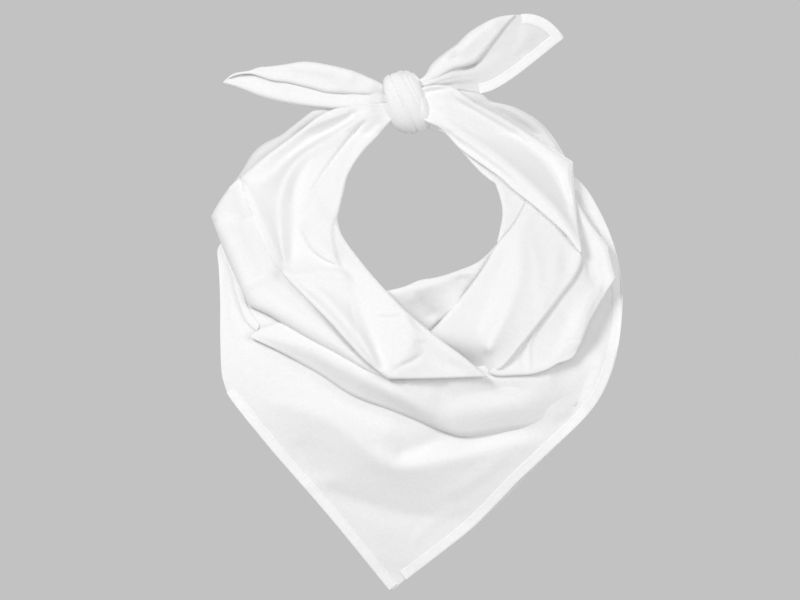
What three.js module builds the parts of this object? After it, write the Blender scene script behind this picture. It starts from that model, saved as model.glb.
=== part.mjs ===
// Arm sling: a square of thin white cotton, doubled corner to corner, laid round the neck
// and tied at the nape, so that its long folded edge is the neck opening and its point hangs
// down the chest.
//
// Millimetres, +Z up, -Y towards the wearer's front, +X to the viewer's right.
// The origin is on the nape, under the knot, where the wearer's neck carries the sling.
//
// The cloth is one doubled sheet. It is split here where it laps over itself, so each lap, hem,
// row of stitching and strand of the knot is a thin closed solid of its own. Every lap is a
// patch between four edges, seen from the front as [x, z], draped over the same body form and
// lifted towards the viewer by its layer.

import * as THREE from "three";

// ---- driving dimensions ---------------------------------------------------------------------

const LAP_THICKNESS = 1.6;      // a lap of doubled, slightly puckered cotton
const LAYER_STEP = 2.6;         // from one lap to the next one over it
const HEM_WIDTH = 8.5;
const HEM_THICKNESS = 0.9;
const HEM_LIFT = 2.4;           // hem over the lap that it edges
const REAR_HEM_GAP = 0.7;       // the rear lap's hem is turned to its back
const STITCH_WIDTH = 0.9;
const STITCH_THICKNESS = 0.5;
const STITCH_LIFT = 1.0;        // thread over the hem
const STITCH_INSET = 1.6;       // from the hem's inner edge to the thread

const CHEST_FORWARD = 121;      // the lowest swag stands this far in front of the nape
const CHEST_LEVEL = -235;       // height of the lowest swag
const POINT_TUCK = 29;          // the point falls back this far under the swag
const POINT_LEVEL = -434;
const BODY_CENTRE = 12;         // the neck opening's middle
const BODY_HALF_WIDTH = 185;
const SHOULDER_CURL = 32;       // the sides turn back this far at the shoulders
const CHEST_CURL = 12;          // and this far over the chest
const CURL_TOP = -100;
const CURL_FOOT = -300;

const FOLD_LEVEL = -298;        // the line where the hanging point swings forward
const FOLD_GAP = 0.8;

const KNOT_CENTRE = new THREE.Vector3(-1, 2, 30);
const KNOT_HALF_WIDTH = 22.5;
const KNOT_HALF_DEPTH = 18;
const KNOT_HALF_HEIGHT = 30;
const KNOT_WRAP_THICKNESS = 6;
const KNOT_WRAP_HEIGHT_SHARE = 0.66;    // of the knot's height
const KNOT_SHOULDER_SHARE = 0.86;       // the wrap's radius at its ends
const KNOT_BELLY_SHARE = 0.4;           // of the wrap's height, at full radius

const TAIL_SWEEP = 24;          // the tails' tips stand this far behind the knot's face
const TAIL_LENGTH = 165;
const LEFT_TAIL_FRONT_LIFT = 11;
const LEFT_TAIL_BACK_LIFT = 5;
const RIGHT_TAIL_INNER_LIFT = 2;
const RIGHT_TAIL_TURNOVER_LIFT = 8;

const ALONG = 12;               // steps along a lap
const ACROSS = 4;               // steps across a lap

// ---- colours --------------------------------------------------------------------------------

const COTTON = { color: 0xf2f2f2, roughness: 0.9 };
const COTTON_SHADE = { color: 0xe9e9ea, roughness: 0.9 };
const HEM_COTTON = { color: 0xf7f7f7, roughness: 0.88 };
const THREAD = { color: 0xfbfbfb, roughness: 0.6 };

// ---- the form that the cloth lies on --------------------------------------------------------

// How far the centre line stands in front of the nape, at a height.
function forwardOfNape(z) {
  if (z > 0) {
    return 0;
  }
  if (z > CHEST_LEVEL) {
    return CHEST_FORWARD * Math.sin((Math.PI / 2) * (z / CHEST_LEVEL)) ** 1.1;
  }
  const down = (CHEST_LEVEL - z) / (CHEST_LEVEL - POINT_LEVEL);
  return CHEST_FORWARD - POINT_TUCK * down ** 1.5;
}

// Depth of the neck and chest under the cloth.
function bodyDepth(x, z) {
  const curlFade = THREE.MathUtils.smoothstep(-z, -CURL_TOP, -CURL_FOOT);
  const curl = THREE.MathUtils.lerp(SHOULDER_CURL, CHEST_CURL, curlFade);
  const side = (x - BODY_CENTRE) / BODY_HALF_WIDTH;
  return curl * side * side - forwardOfNape(z);
}

// Depth of the tails, which stand out from the knot and sweep gently back.
function tailDepth(x) {
  const out = x / TAIL_LENGTH;
  return TAIL_SWEEP * out * out;
}

// ---- thin solids ----------------------------------------------------------------------------

function edgeCurve(points) {
  return new THREE.CatmullRomCurve3(points.map(([x, z]) => new THREE.Vector3(x, 0, z)), false, "centripetal");
}

// A Coons patch between four edges. Top and bottom run left to right, the sides top to bottom.
function patchPoint(edges, u, v) {
  const top = edges.top.getPointAt(u);
  const bottom = edges.bottom.getPointAt(u);
  const left = edges.left.getPointAt(v);
  const right = edges.right.getPointAt(v);
  const [a, b] = [edges.top.getPointAt(0), edges.top.getPointAt(1)];
  const [c, d] = [edges.bottom.getPointAt(0), edges.bottom.getPointAt(1)];
  const between = (axis) =>
    (1 - v) * top[axis] + v * bottom[axis] + (1 - u) * left[axis] + u * right[axis]
    - (1 - v) * ((1 - u) * a[axis] + u * b[axis]) - v * ((1 - u) * c[axis] + u * d[axis]);
  return [between("x"), between("z")];
}

function signedVolume(points, index) {
  let sum = 0;
  const [a, b, c] = [new THREE.Vector3(), new THREE.Vector3(), new THREE.Vector3()];
  for (let i = 0; i < index.length; i += 3) {
    a.fromArray(points, index[i] * 3);
    b.fromArray(points, index[i + 1] * 3);
    c.fromArray(points, index[i + 2] * 3);
    sum += a.dot(b.cross(c));
  }
  return sum / 6;
}

// A closed slab over a grid of front points, as thick as given, with its faces pointing out.
function slab(columns, rows, thickness, frontPoint) {
  const points = [];
  for (const behind of [0, thickness]) {
    for (let j = 0; j <= rows; j += 1) {
      for (let i = 0; i <= columns; i += 1) {
        const [x, y, z] = frontPoint(i / columns, j / rows);
        points.push(x, y + behind, z);
      }
    }
  }
  const layer = (columns + 1) * (rows + 1);
  const at = (i, j, side) => side * layer + j * (columns + 1) + i;
  const index = [];
  const quad = (a, b, c, d) => index.push(a, b, c, a, c, d);
  for (let j = 0; j < rows; j += 1) {
    for (let i = 0; i < columns; i += 1) {
      quad(at(i, j, 0), at(i, j + 1, 0), at(i + 1, j + 1, 0), at(i + 1, j, 0));
      quad(at(i, j, 1), at(i + 1, j, 1), at(i + 1, j + 1, 1), at(i, j + 1, 1));
    }
  }
  for (let i = 0; i < columns; i += 1) {
    quad(at(i, 0, 0), at(i + 1, 0, 0), at(i + 1, 0, 1), at(i, 0, 1));
    quad(at(i + 1, rows, 0), at(i, rows, 0), at(i, rows, 1), at(i + 1, rows, 1));
  }
  for (let j = 0; j < rows; j += 1) {
    quad(at(0, j + 1, 0), at(0, j, 0), at(0, j, 1), at(0, j + 1, 1));
    quad(at(columns, j, 0), at(columns, j + 1, 0), at(columns, j + 1, 1), at(columns, j, 1));
  }
  if (signedVolume(points, index) < 0) {
    index.reverse();
  }
  const geometry = new THREE.BufferGeometry();
  geometry.setAttribute("position", new THREE.Float32BufferAttribute(points, 3));
  geometry.setIndex(index);
  geometry.computeVertexNormals();
  return geometry;
}

function named(name, geometry, look) {
  const mesh = new THREE.Mesh(geometry, new THREE.MeshStandardMaterial({ ...look, metalness: 0 }));
  mesh.name = name;
  return mesh;
}

// A lap of cloth. Sides that aren't given are straight. Its belly is how far its middle swells.
function lap(name, { top, bottom, left, right, lift, belly = 0, depth = bodyDepth,
  look = COTTON, thickness = LAP_THICKNESS, columns = ALONG, rows = ACROSS }) {
  const edges = {
    top: edgeCurve(top),
    bottom: edgeCurve(bottom),
    left: edgeCurve(left ?? [top[0], bottom[0]]),
    right: edgeCurve(right ?? [top.at(-1), bottom.at(-1)]),
  };
  const frontPoint = (u, v) => {
    const [x, z] = patchPoint(edges, u, v);
    const swell = belly * Math.sin(Math.PI * u) * Math.sin(Math.PI * v);
    return [x, depth(x, z) - lift - swell, z];
  };
  return named(name, slab(columns, rows, thickness, frontPoint), look);
}

// A ribbon that follows an edge, from one inset to another, measured square to the edge.
function ribbon(name, edge, { from, width, inward, lift, thickness, look, depth = bodyDepth, columns = 16 }) {
  const curve = edgeCurve(edge);
  const frontPoint = (u, v) => {
    const point = curve.getPointAt(u);
    const along = curve.getTangentAt(u);
    const inset = (from + width * v) * inward;
    const x = point.x + along.z * inset;
    const z = point.z - along.x * inset;
    return [x, depth(x, z) - lift, z];
  };
  return named(name, slab(columns, 1, thickness, frontPoint), look);
}

// A hem and the thread that holds it down, along one edge of a lap.
function hemAndStitching(name, edge, { inward, lift, depth, look = HEM_COTTON }) {
  return [
    ribbon(name, edge, {
      from: 0, width: HEM_WIDTH, inward, lift: lift + HEM_LIFT, thickness: HEM_THICKNESS, look, depth,
    }),
    ribbon(`${name}_stitching`, edge, {
      from: HEM_WIDTH - STITCH_INSET - STITCH_WIDTH, width: STITCH_WIDTH, inward,
      lift: lift + HEM_LIFT + STITCH_LIFT, thickness: STITCH_THICKNESS, look: THREAD, depth,
    }),
  ];
}

const layer = (number) => number * LAYER_STEP;
const REAR_LIFT = -3;           // the rear lap hangs clear behind the front one

// ---- edges that several laps share, as [x, z] -----------------------------------------------

const FOLD_LEFT = [-127, FOLD_LEVEL];
const FOLD_RIGHT = [138, FOLD_LEVEL];
const below = ([x]) => [x, FOLD_LEVEL - FOLD_GAP];

const LEFT_EDGE_UPPER = [[-180, -113], [-176, -165], [-174, -222], [-165, -253], FOLD_LEFT];
const LEFT_HEM_UPPER = [[-168, -249], [-160, -259], FOLD_LEFT];
const LEFT_EDGE_LOWER = [below(FOLD_LEFT), [-70, -368], [-17, -434]];
const RIGHT_WING_EDGE = [[160, -44], [181, -70], [199, -120], [203, -160], [196, -212]];
const RIGHT_EDGE_UPPER = [[196, -212], [182, -250], [160, -277], FOLD_RIGHT];
const RIGHT_HEM_UPPER = [[193, -221], [182, -250], [160, -277], FOLD_RIGHT];
const RIGHT_EDGE_LOWER = [below(FOLD_RIGHT), [104, -330], [60, -375], [-10, -434]];
// The lower hems start far enough down for their inner corners to stay below the fold line.
const LEFT_HEM_LOWER = [[-120.5, -306.5], [-70, -368], [-17, -434]];
const RIGHT_HEM_LOWER = [[129.5, -306.5], [104, -330], [60, -375], [1, -426]];
const REAR_EDGE_LOWER = [[141, FOLD_LEVEL - FOLD_GAP], [110, -334], [66, -379], [4, -427]];
const RIGHT_CREASE = [[46, -12], [88, -48], [117, -68], [164, -117]];

// ---- neck loop ------------------------------------------------------------------------------

function leftSide() {
  return [
    lap("left_band_back", {
      top: [[-27, 24], [-80, 20], [-121, -4], [-142, -18], [-162, -44]],
      bottom: [[-27, 8], [-66, -4], [-104, -30], [-134, -50], [-154, -60]],
      lift: layer(1), look: COTTON_SHADE,
    }),
    lap("left_band_front", {
      top: [[-27, 21], [-62, 15], [-104, -12], [-140, -32], [-160, -46]],
      bottom: [[-27, 2], [-49, -28], [-61, -56], [-65, -80]],
      lift: layer(5),
    }),
    lap("left_cowl", {
      top: [[-65, -79], [-45, -123], [-22, -150], [29, -196], [73, -230]],
      bottom: [[-158, -49], [-138, -90], [-116, -136], [-60, -194], [-18, -234]],
      right: [[73, -230], [28, -233], [-18, -234]],
      lift: layer(6),
    }),
    lap("left_swag", {
      top: [[-160, -48], [-138, -92], [-118, -134], [-62, -190], [-20, -230]],
      bottom: [[-187, -81], [-177, -107], [-148, -167], [-105, -189], [-24, -234]],
      lift: layer(5), belly: 3,
    }),
    lap("left_side_fold", {
      top: [[-180, -110], [-165, -134], [-148, -168], [-138, -186]],
      bottom: [[-176, -122], [-169, -150], [-158, -184], [-146, -194]],
      lift: layer(2), columns: 8,
    }),
    lap("lower_swag", {
      top: [[-145, -192], [-121, -182], [-70, -206], [-10, -236], [50, -240], [155, -222]],
      bottom: [[-142, -196], [-90, -226], [-20, -258], [40, -281], [90, -279], [155, -264]],
      lift: layer(3), belly: 3, columns: 16,
    }),
  ];
}

function rightSide() {
  return [
    lap("right_band_back", {
      top: [[70, 36], [100, 28], [131, 8], [147, -12], [159, -34]],
      bottom: [[58, 20], [86, 4], [112, -16], [132, -38], [144, -60]],
      lift: layer(2), look: COTTON_SHADE,
    }),
    lap("right_band_front", {
      top: [[25, 40], [46, 42], [74, 24], [104, 9], [134, -12], [158, -30]],
      bottom: RIGHT_CREASE,
      left: [[25, 40], [27, 12], [46, -12]],
      right: [[158, -30], [161, -80], [164, -117]],
      lift: layer(6.3),
    }),
    lap("right_inner_strip", {
      top: [[44, -10], [88, -50], [117, -70], [112, -84], [96, -100]],
      bottom: [[42, -12], [69, -36], [86, -50], [91, -78], [86, -106]],
      lift: layer(4), look: COTTON_SHADE,
    }),
    lap("right_cowl", {
      top: [[117, -70], [142, -92], [163, -119]],
      bottom: [[60, -204], [70, -228], [76, -231]],
      left: [[117, -70], [88, -110], [66, -156], [60, -204]],
      right: [[163, -119], [149, -155], [106, -204], [76, -231]],
      lift: layer(5.2),
    }),
    lap("right_under_lap", {
      top: [[160, -62], [180, -94], [192, -120], [197, -142]],
      bottom: [[82, -229], [112, -230], [141, -219], [162, -200]],
      left: [[160, -62], [163, -120], [128, -180], [82, -229]],
      right: [[197, -142], [182, -162], [168, -182], [162, -200]],
      lift: layer(4.2),
    }),
  ];
}

function chestPanels() {
  return [
    lap("rear_panel", {
      top: [[-174, -118], [-120, -138], [-60, -140], [-24, -151], [16, -141], [47, -133], [86, -108]],
      bottom: [FOLD_LEFT, FOLD_RIGHT],
      left: [[-174, -118], [-173, -165], [-171, -222], [-162, -250], FOLD_LEFT],
      right: [[86, -108], [170, -150], [196, -205], [182, -252], FOLD_RIGHT],
      lift: REAR_LIFT, columns: 16, rows: 8, look: COTTON_SHADE,
    }),
    lap("front_panel", {
      top: [[-180, -113], [-150, -166], [-100, -200], [0, -225], [90, -222], [150, -214], [196, -212]],
      bottom: [FOLD_LEFT, FOLD_RIGHT],
      left: LEFT_EDGE_UPPER,
      right: RIGHT_EDGE_UPPER,
      lift: layer(1), columns: 16, rows: 6,
    }),
    lap("right_wing", {
      top: RIGHT_WING_EDGE,
      bottom: [[148, -62], [158, -100], [168, -140], [160, -176], [140, -210]],
      left: [RIGHT_WING_EDGE[0], [148, -62]],
      right: [RIGHT_WING_EDGE.at(-1), [140, -210]],
      lift: layer(2),
    }),
    ...hemAndStitching("left_hem_upper", LEFT_HEM_UPPER, { inward: -1, lift: layer(1) }),
    ...hemAndStitching("right_hem_upper", RIGHT_HEM_UPPER, { inward: 1, lift: layer(1) }),
    ...hemAndStitching("right_wing_hem", RIGHT_WING_EDGE, { inward: 1, lift: layer(2) }),
  ];
}

// The barrel of the knot: a core strand through a wrap, with one narrow strand beside them.
function knot() {
  const core = new THREE.SphereGeometry(1, 20, 14);
  const coreScale = 1 - (KNOT_WRAP_THICKNESS + 1) / KNOT_HALF_DEPTH;
  core.scale(KNOT_HALF_WIDTH * coreScale, KNOT_HALF_DEPTH * coreScale, KNOT_HALF_HEIGHT);

  const wrapHalfHeight = KNOT_WRAP_HEIGHT_SHARE * KNOT_HALF_HEIGHT;
  const outer = KNOT_HALF_DEPTH;
  const inner = KNOT_HALF_DEPTH - KNOT_WRAP_THICKNESS;
  const profile = [
    [inner, -wrapHalfHeight],
    [KNOT_SHOULDER_SHARE * outer, -wrapHalfHeight],
    [outer, -KNOT_BELLY_SHARE * wrapHalfHeight],
    [outer, KNOT_BELLY_SHARE * wrapHalfHeight],
    [KNOT_SHOULDER_SHARE * outer, wrapHalfHeight],
    [inner, wrapHalfHeight],
    [inner, -wrapHalfHeight],
  ];
  const wrap = new THREE.LatheGeometry(profile.map(([r, h]) => new THREE.Vector2(r, h)), 28);
  wrap.rotateX(Math.PI / 2);
  wrap.scale(KNOT_HALF_WIDTH / KNOT_HALF_DEPTH, 1, 1);

  const pieces = [named("knot_core", core, COTTON_SHADE), named("knot_wrap", wrap, COTTON)];
  for (const piece of pieces) {
    piece.position.copy(KNOT_CENTRE);
  }
  const strand = lap("knot_side_strand", {
    top: [[6, 52], [14, 46], [20, 32], [21, 14], [17, 4]],
    bottom: [[3, 49], [10, 43], [15, 31], [16, 15], [13, 6]],
    lift: KNOT_HALF_DEPTH + 1.5, depth: () => 0, columns: 10, rows: 2,
  });
  return [...pieces, strand];
}

// ---- the two tied ends ----------------------------------------------------------------------

function leftTail() {
  return [
    lap("left_tail_front", {
      top: [[-176, 52], [-151, 58], [-122, 51], [-94, 44], [-62, 40], [-28, 40]],
      bottom: [[-176, 49], [-155, 42], [-114, 28], [-78, 24.5], [-54, 24.5], [-28, 30]],
      lift: LEFT_TAIL_FRONT_LIFT, belly: 3, depth: tailDepth,
    }),
    lap("left_tail_back", {
      top: [[-176, 53], [-143, 64], [-100, 69], [-64, 63], [-34, 53], [-28, 48]],
      bottom: [[-176, 50], [-140, 44], [-100, 36], [-64, 32], [-28, 33]],
      lift: LEFT_TAIL_BACK_LIFT, depth: tailDepth, look: COTTON_SHADE,
    }),
  ];
}

const TAIL_CUT_EDGE = [[106, 114.5], [122, 114.5], [138, 106], [151, 93]];
const TAIL_LOWER_HEM = [[143, 84.6], [123, 70], [104, 55], [88, 45], [74, 40]];

function rightTail() {
  return [
    lap("right_tail_inner", {
      top: [[22, 54], [36, 74], [61, 98], [86, 112], [106, 114.5]],
      bottom: [[22, 45], [48, 47], [74, 40], [104, 55], [151, 93]],
      right: TAIL_CUT_EDGE,
      lift: RIGHT_TAIL_INNER_LIFT, depth: tailDepth, look: COTTON_SHADE,
    }),
    lap("right_tail_turnover", {
      top: [[22, 54], [36, 75], [61, 99], [84, 112], [104, 114]],
      bottom: [[22, 50], [44, 67], [66, 72], [84, 90], [103, 112]],
      lift: RIGHT_TAIL_TURNOVER_LIFT, depth: tailDepth,
    }),
    ...hemAndStitching("right_tail_end_hem", TAIL_CUT_EDGE,
      { inward: 1, lift: RIGHT_TAIL_INNER_LIFT, depth: tailDepth }),
    ...hemAndStitching("right_tail_lower_hem", TAIL_LOWER_HEM,
      { inward: 1, lift: RIGHT_TAIL_INNER_LIFT, depth: tailDepth }),
  ];
}

// ---- the hanging point ----------------------------------------------------------------------

function hangingPoint() {
  return [
    lap("point_rear", {
      top: [[-124, FOLD_LEVEL - FOLD_GAP], [139, FOLD_LEVEL - FOLD_GAP]],
      bottom: [[-12, -426], [4, -427]],
      right: REAR_EDGE_LOWER,
      lift: REAR_LIFT, columns: 10, rows: 10, look: COTTON_SHADE,
    }),
    lap("point_front", {
      top: [below(FOLD_LEFT), below(FOLD_RIGHT)],
      bottom: [[-17, -434], [-10, -434]],
      left: LEFT_EDGE_LOWER,
      right: RIGHT_EDGE_LOWER,
      lift: layer(1), columns: 10, rows: 10,
    }),
    ...hemAndStitching("left_hem_lower", LEFT_HEM_LOWER, { inward: -1, lift: layer(1) }),
    ...hemAndStitching("right_hem_lower", RIGHT_HEM_LOWER, { inward: 1, lift: layer(1) }),
    ribbon("rear_hem", REAR_EDGE_LOWER, {
      from: 0, width: HEM_WIDTH, inward: 1, lift: REAR_LIFT - LAP_THICKNESS - REAR_HEM_GAP,
      thickness: HEM_THICKNESS, look: HEM_COTTON,
    }),
  ];
}

const group = new THREE.Group();
group.add(
  ...chestPanels(),
  ...leftSide(),
  ...rightSide(),
  ...knot(),
  ...leftTail(),
  ...rightTail(),
  ...hangingPoint(),
);

export default group;
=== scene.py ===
"""Looks for the arm sling: one doubled white cotton cloth, tied at the nape.

Shapes are written in millimetres in the part's own frame, as the sling is seen from in front:
x to the right, z up, and heights towards the viewer. They become metres when a mesh is made.
"""
import math

import bmesh
import bpy
import numpy as np
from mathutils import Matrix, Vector, noise
from mathutils.bvhtree import BVHTree


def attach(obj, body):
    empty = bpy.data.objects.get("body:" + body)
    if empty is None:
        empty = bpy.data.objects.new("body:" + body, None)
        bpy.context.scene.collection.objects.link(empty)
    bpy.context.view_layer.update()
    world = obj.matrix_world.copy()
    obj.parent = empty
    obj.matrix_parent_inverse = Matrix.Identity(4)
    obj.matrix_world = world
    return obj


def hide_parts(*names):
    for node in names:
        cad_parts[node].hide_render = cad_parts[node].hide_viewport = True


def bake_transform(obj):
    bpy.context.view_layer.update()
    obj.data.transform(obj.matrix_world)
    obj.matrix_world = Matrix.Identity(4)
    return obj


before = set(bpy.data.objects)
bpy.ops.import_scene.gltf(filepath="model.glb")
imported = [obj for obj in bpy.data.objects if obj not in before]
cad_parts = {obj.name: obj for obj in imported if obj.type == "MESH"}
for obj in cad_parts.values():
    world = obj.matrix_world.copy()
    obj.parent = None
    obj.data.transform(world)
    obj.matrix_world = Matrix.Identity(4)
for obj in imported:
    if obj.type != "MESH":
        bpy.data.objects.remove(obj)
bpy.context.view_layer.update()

MM = 0.001
CLOTH = 0.6          # thickness of a lap
LAYER = 3.0          # from one lap to the next one over it
STITCH = 2.4         # length of one stitch
STITCH_GAP = 0.9
GRID = 2.0           # distance between mesh points

# ---- the neck and chest under the cloth, as in the CAD model ----

CHEST_FORWARD = 121
CHEST_LEVEL = -235
CHEST_ROUNDNESS = 1.1
POINT_TUCK = 29
TUCK_ROUNDNESS = 1.5
POINT_LEVEL = -434
BODY_CENTRE = 12
BODY_HALF_WIDTH = 185
SHOULDER_CURL = 32
CHEST_CURL = 12
CURL_TOP = -100
CURL_FOOT = -300
TAIL_SWEEP = 24
TAIL_LENGTH = 165
KNOT_CENTRE = (0, 2, 30)
KNOT_HALF = 18


def body_depth(x, z):
    rise = np.clip(z / CHEST_LEVEL, 0, 1)
    forward = CHEST_FORWARD * np.sin(math.pi / 2 * rise) ** CHEST_ROUNDNESS
    down = np.clip((CHEST_LEVEL - z) / (CHEST_LEVEL - POINT_LEVEL), 0, None)
    forward = forward - POINT_TUCK * down ** TUCK_ROUNDNESS
    fade = np.clip((CURL_TOP - z) / (CURL_TOP - CURL_FOOT), 0, 1)
    fade = fade * fade * (3 - 2 * fade)
    curl = SHOULDER_CURL + (CHEST_CURL - SHOULDER_CURL) * fade
    side = (x - BODY_CENTRE) / BODY_HALF_WIDTH
    return curl * side * side - forward


def tail_depth(x, z):
    return TAIL_SWEEP * (x / TAIL_LENGTH) ** 2


# ---- curves ----


def smooth_run(points, step=1.0):
    """A centripetal Catmull-Rom curve through the points, as closely spaced points."""
    points = [np.array(p, float) for p in points]
    if len(points) == 2:
        count = max(2, int(np.linalg.norm(points[1] - points[0]) / step))
        return np.linspace(points[0], points[1], count)
    padded = [2 * points[0] - points[1], *points, 2 * points[-1] - points[-2]]
    out = [points[0]]
    for a, b, c, d in zip(padded, padded[1:], padded[2:], padded[3:]):
        knots = [0.0]
        for p, q in ((a, b), (b, c), (c, d)):
            knots.append(knots[-1] + max(np.linalg.norm(q - p), 1e-6) ** 0.5)
        t0, t1, t2, t3 = knots
        count = max(2, int(np.linalg.norm(c - b) / step))
        for t in np.linspace(t1, t2, count + 1)[1:]:
            ab = a + (b - a) * (t - t0) / (t1 - t0)
            bc = b + (c - b) * (t - t1) / (t2 - t1)
            cd = c + (d - c) * (t - t2) / (t3 - t2)
            abc = ab + (bc - ab) * (t - t0) / (t2 - t0)
            bcd = bc + (cd - bc) * (t - t1) / (t3 - t1)
            out.append(abc + (bcd - abc) * (t - t1) / (t2 - t1))
    return np.array(out)


def path(*runs):
    """Runs of points joined end to end, smooth along each run and with a corner between runs."""
    pieces = [smooth_run(run) for run in runs]
    return np.concatenate([pieces[0], *(p[1:] for p in pieces[1:])])


def lengths(points):
    steps = np.linalg.norm(np.diff(points, axis=0), axis=1)
    return np.concatenate([[0], np.cumsum(steps)])


def resample(points, count):
    """The same path as evenly spaced points."""
    along = lengths(points)
    wanted = np.linspace(0, along[-1], count)
    return np.stack([np.interp(wanted, along, points[:, k]) for k in range(points.shape[1])], axis=1)


# ---- relief: how folds raise and lower a lap ----

CURVE_STEP = 4.0     # between the points of a curve before it is evened out
FOLD_SPACING = 7     # between the points of a fold
CREASE_SPACING = 6
CREASE_END = 1 / 5   # share of a crease over which each end fades
LIP_END = 1 / 6
LIP_EDGE = 0.9       # how quickly a lip rises from its line
FOLD_PULL = 40       # how firmly the cloth keeps to its folds
FOLD_WIDTH = 1.6
COARSEST = 8         # the relief is found on every 8th point first, and then on finer grids
COARSE_ROUNDS = 220
FINE_ROUNDS = 90
BROAD_CRUMPLE = 34   # size of the broad unevenness of pressed cotton
FINE_CRUMPLE = 12
FINE_SHARE = 0.35
FINE_SEED = 7.3


def nearest_on(points, x, z):
    """Distance to a path, its side (positive to its left), the height and place along it there."""
    best = np.full(x.shape, np.inf)
    side = np.zeros(x.shape)
    height = np.zeros(x.shape)
    place = np.zeros(x.shape)
    along = lengths(points[:, :2])
    for i in range(len(points) - 1):
        (ax, az), (bx, bz) = points[i, :2], points[i + 1, :2]
        dx, dz = bx - ax, bz - az
        size = dx * dx + dz * dz + 1e-12
        t = np.clip(((x - ax) * dx + (z - az) * dz) / size, 0, 1)
        away = np.hypot(x - ax - t * dx, z - az - t * dz)
        closer = away < best
        best = np.where(closer, away, best)
        side = np.where(closer, np.sign(dx * (z - az) - dz * (x - ax)), side)
        if points.shape[1] > 2:
            height = np.where(closer, points[i, 2] + t * (points[i + 1, 2] - points[i, 2]), height)
        place = np.where(closer, (along[i] + t * math.sqrt(size)) / along[-1], place)
    return best, side, height, place


def evenly(points, spacing):
    """A smooth curve through a few points, as points about that far apart."""
    flat = np.array(points, float)[:, :2]
    return resample(smooth_run(points, CURVE_STEP), max(3, int(lengths(flat)[-1] / spacing)))


def end_fade(place, share):
    """From 0 at both ends of a line to 1 where that share of its length is behind."""
    return np.clip(np.minimum(place, 1 - place) / share, 0, 1)


def crease(height, width, *points):
    """A narrow ridge, or a groove where height is negative, that fades out at both ends."""
    track = evenly(points, CREASE_SPACING)

    def add(x, z):
        away, _, _, place = nearest_on(track, x, z)
        return height * end_fade(place, CREASE_END) * np.exp(-((away / width) ** 2))
    return add


def lip(height, reach, *points):
    """The edge of a lap that lies over the rest, raised on the left of its line."""
    track = evenly(points, CREASE_SPACING)

    def add(x, z):
        away, side, _, place = nearest_on(track, x, z)
        edge = np.clip(side * away / LIP_EDGE, 0, 1)
        return height * end_fade(place, LIP_END) * edge * np.exp(-away / reach)
    return add


def upsample(values, shape):
    rows = np.linspace(0, values.shape[0] - 1, shape[0])
    cols = np.linspace(0, values.shape[1] - 1, shape[1])
    tall = np.stack([np.interp(rows, np.arange(values.shape[0]), c) for c in values.T], axis=1)
    return np.stack([np.interp(cols, np.arange(values.shape[1]), r) for r in tall])


def neighbours(height):
    """The sum of the four heights next to each point."""
    padded = np.pad(height, 1, mode="edge")
    return padded[:-2, 1:-1] + padded[2:, 1:-1] + padded[1:-1, :-2] + padded[1:-1, 2:]


def drawn_relief(x, z, folds, reach, soften):
    """Heights of a cloth drawn tight between its fold lines, falling to the form away from them."""
    if not folds:
        return np.zeros(x.shape)
    pull = np.zeros(x.shape)
    aim = np.zeros(x.shape)
    for points in folds:
        away, _, height, _ = nearest_on(points, x, z)
        weight = FOLD_PULL * np.exp(-((away / FOLD_WIDTH) ** 2))
        pull += weight
        aim += weight * height
    level = COARSEST
    height = None
    while level >= 1:
        w, a = pull[::level, ::level], aim[::level, ::level]
        height = np.zeros(w.shape) if height is None else upsample(height, w.shape)
        screen = (GRID * level / reach) ** 2
        for _ in range(COARSE_ROUNDS if level > 1 else FINE_ROUNDS):
            height = (neighbours(height) + a) / (4 + screen + w)
        level //= 2
    return soften_grid(height, soften)


def square_relief(x, z, folds, reach, soften):
    """The same relief, worked out on a square grid, for a lap whose own grid is skewed."""
    across = np.arange(x.min(), x.max() + 2 * GRID, GRID)
    down = np.arange(z.min(), z.max() + 2 * GRID, GRID)
    height = drawn_relief(*np.meshgrid(across, down), folds, reach, soften)
    column, row = (x - across[0]) / GRID, (z - down[0]) / GRID
    i, j = row.astype(int), column.astype(int)
    s, t = row - i, column - j
    upper = (1 - t) * height[i, j] + t * height[i, j + 1]
    lower = (1 - t) * height[i + 1, j] + t * height[i + 1, j + 1]
    return (1 - s) * upper + s * lower


def soften_grid(height, times):
    for _ in range(times):
        height = 0.5 * height + 0.125 * neighbours(height)
    return height


def crumple(x, z, amount, seed):
    """Slight unevenness of pressed cotton."""
    out = np.zeros(x.size)
    for i, (px, pz) in enumerate(zip(x.ravel(), z.ravel())):
        broad = noise.noise(Vector((px / BROAD_CRUMPLE, pz / BROAD_CRUMPLE, seed)))
        fine = noise.noise(Vector((px / FINE_CRUMPLE, pz / FINE_CRUMPLE, seed + FINE_SEED)))
        out[i] = broad + FINE_SHARE * fine
    return amount * out.reshape(x.shape)


# ---- meshes ----


def patch_grid(top, bottom, left, right, deep=None):
    """A Coons patch as a grid of x and z. Top and bottom run left to right, sides downwards."""
    columns = max(6, int(max(lengths(top)[-1], lengths(bottom)[-1]) / GRID))
    rows = max(6, int((deep or max(lengths(left)[-1], lengths(right)[-1])) / GRID))
    top, bottom = resample(top, columns), resample(bottom, columns)
    left, right = resample(left, rows), resample(right, rows)
    u = np.linspace(0, 1, columns)[None, :, None]
    v = np.linspace(0, 1, rows)[:, None, None]
    grid = (1 - v) * top[None] + v * bottom[None] + (1 - u) * left[:, None] + u * right[:, None]
    corners = (1 - v) * ((1 - u) * top[0] + u * top[-1]) + v * ((1 - u) * bottom[0] + u * bottom[-1])
    grid = grid - corners
    return grid[..., 0], grid[..., 1]


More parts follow.
